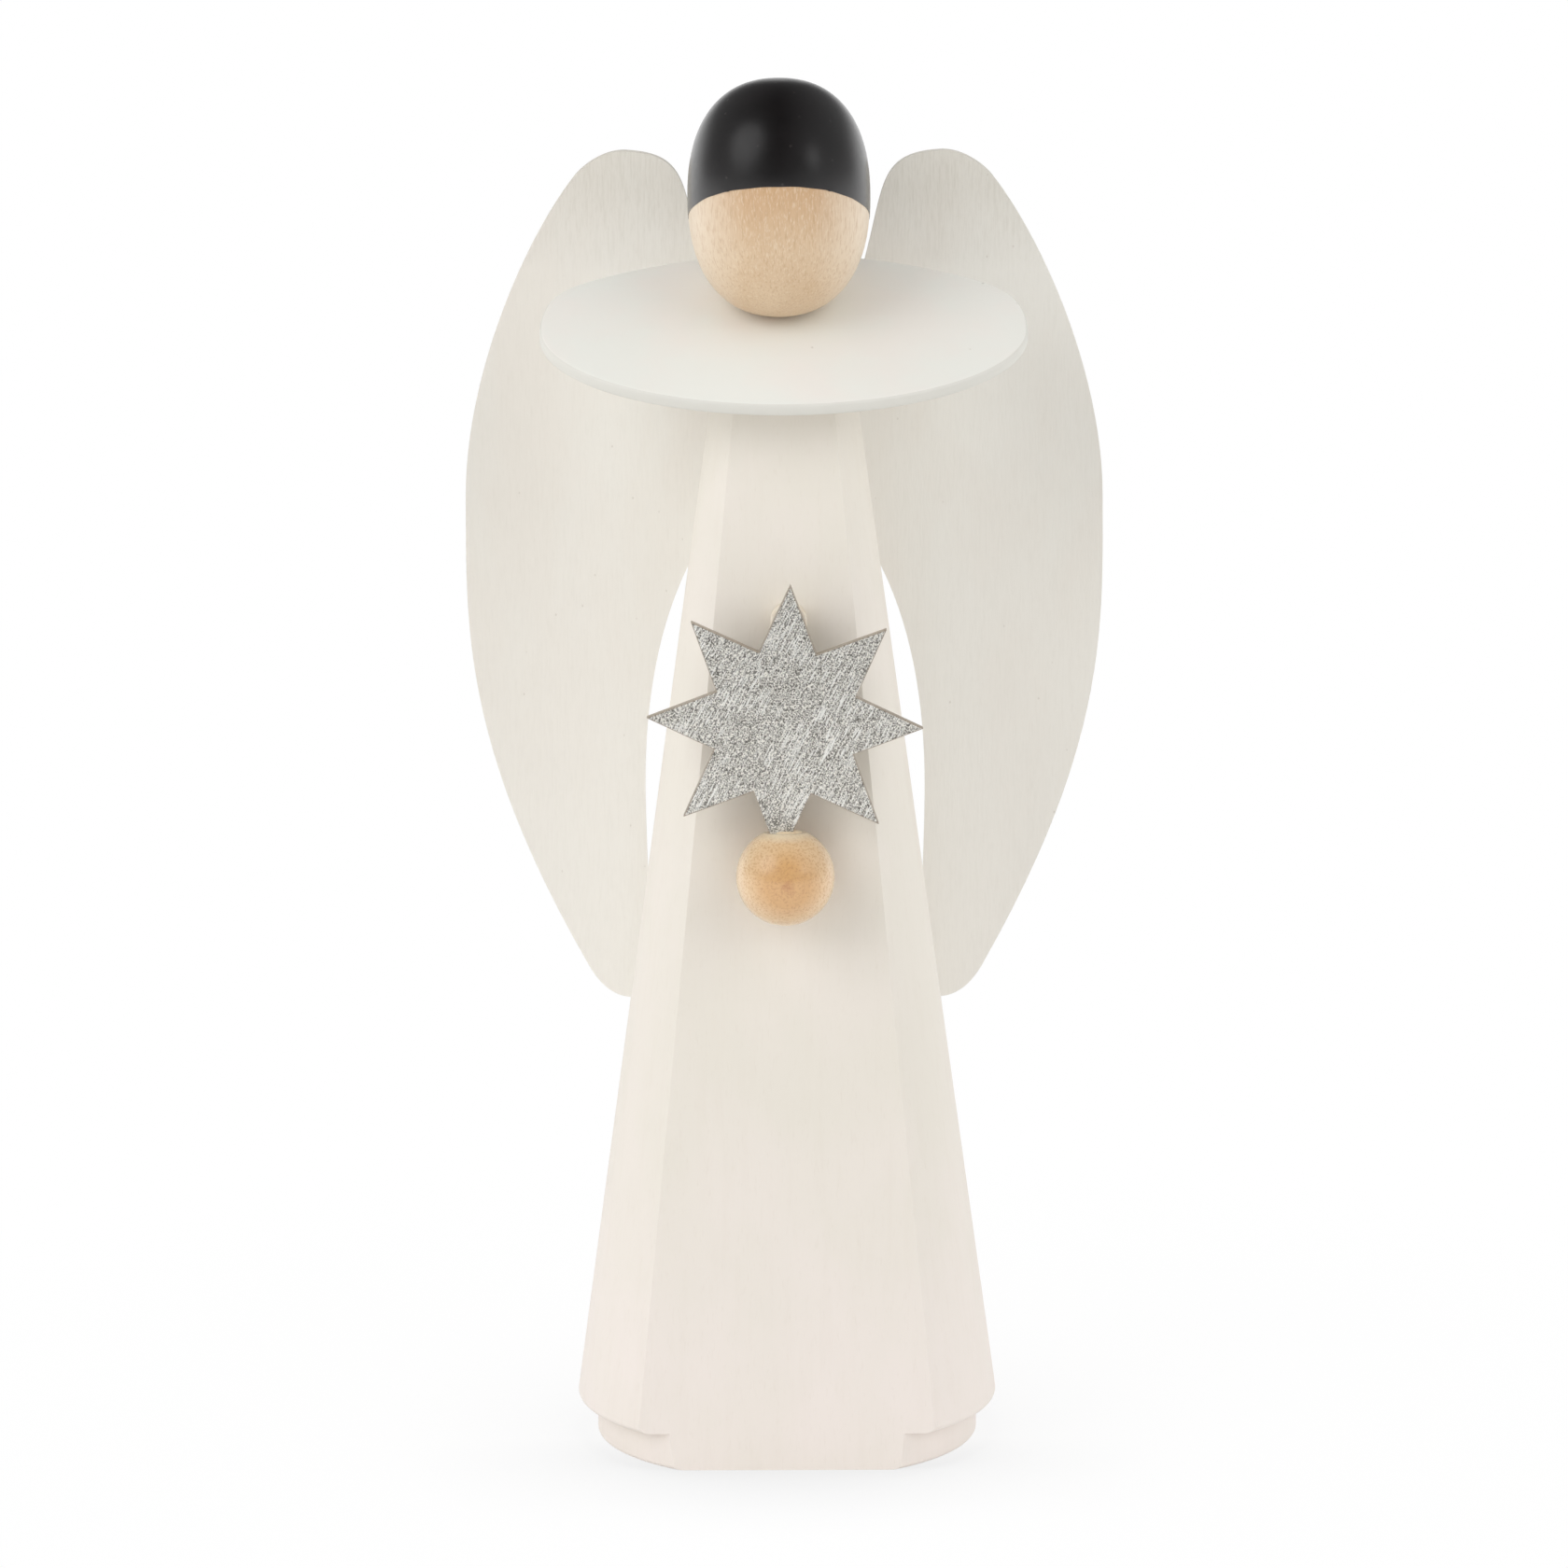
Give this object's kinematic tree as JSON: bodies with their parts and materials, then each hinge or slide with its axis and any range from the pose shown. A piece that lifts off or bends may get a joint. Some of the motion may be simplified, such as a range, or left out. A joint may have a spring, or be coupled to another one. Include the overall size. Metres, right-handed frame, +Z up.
{
  "type": "wooden angel figurine",
  "caption": "Free-standing turned-wood angel ornament: cone body with a flat front, egg head with painted hair, oval collar, bent wings, and a star held on a ball hand.",
  "frame": {"origin": "centre of the foot on the body's turning axis, on the plane that the figurine stands on", "axes": "+Z up along the body's turning axis, -Y to the flat front with the star, +X to the figurine's left hand (the viewer's right)"},
  "size_m": [0.0662, 0.041, 0.141],
  "materials": {
    "white_glaze": "thin white glaze over turned wood, satin",
    "white_paint": "white paint over thin veneer, satin, grain showing",
    "pale_wood": "bare pale wood, clear satin",
    "honey_wood": "clear-lacquered wood, satin, end grain to the front",
    "black_paint": "black paint, satin",
    "silver_paint": "silver paint over sawn wood, fine sparkle"
  },
  "bodies": {
    "root": {"body": "white_glaze", "neck_dowel": "pale_wood", "collar": "white_paint", "head": "pale_wood", "hair_paint": "black_paint", "wing_left": "white_paint", "wing_right": "white_paint", "hand_ball": "honey_wood", "hand_dowel": "pale_wood", "star": "silver_paint", "star_peg": "pale_wood"}
  },
  "joints": []
}
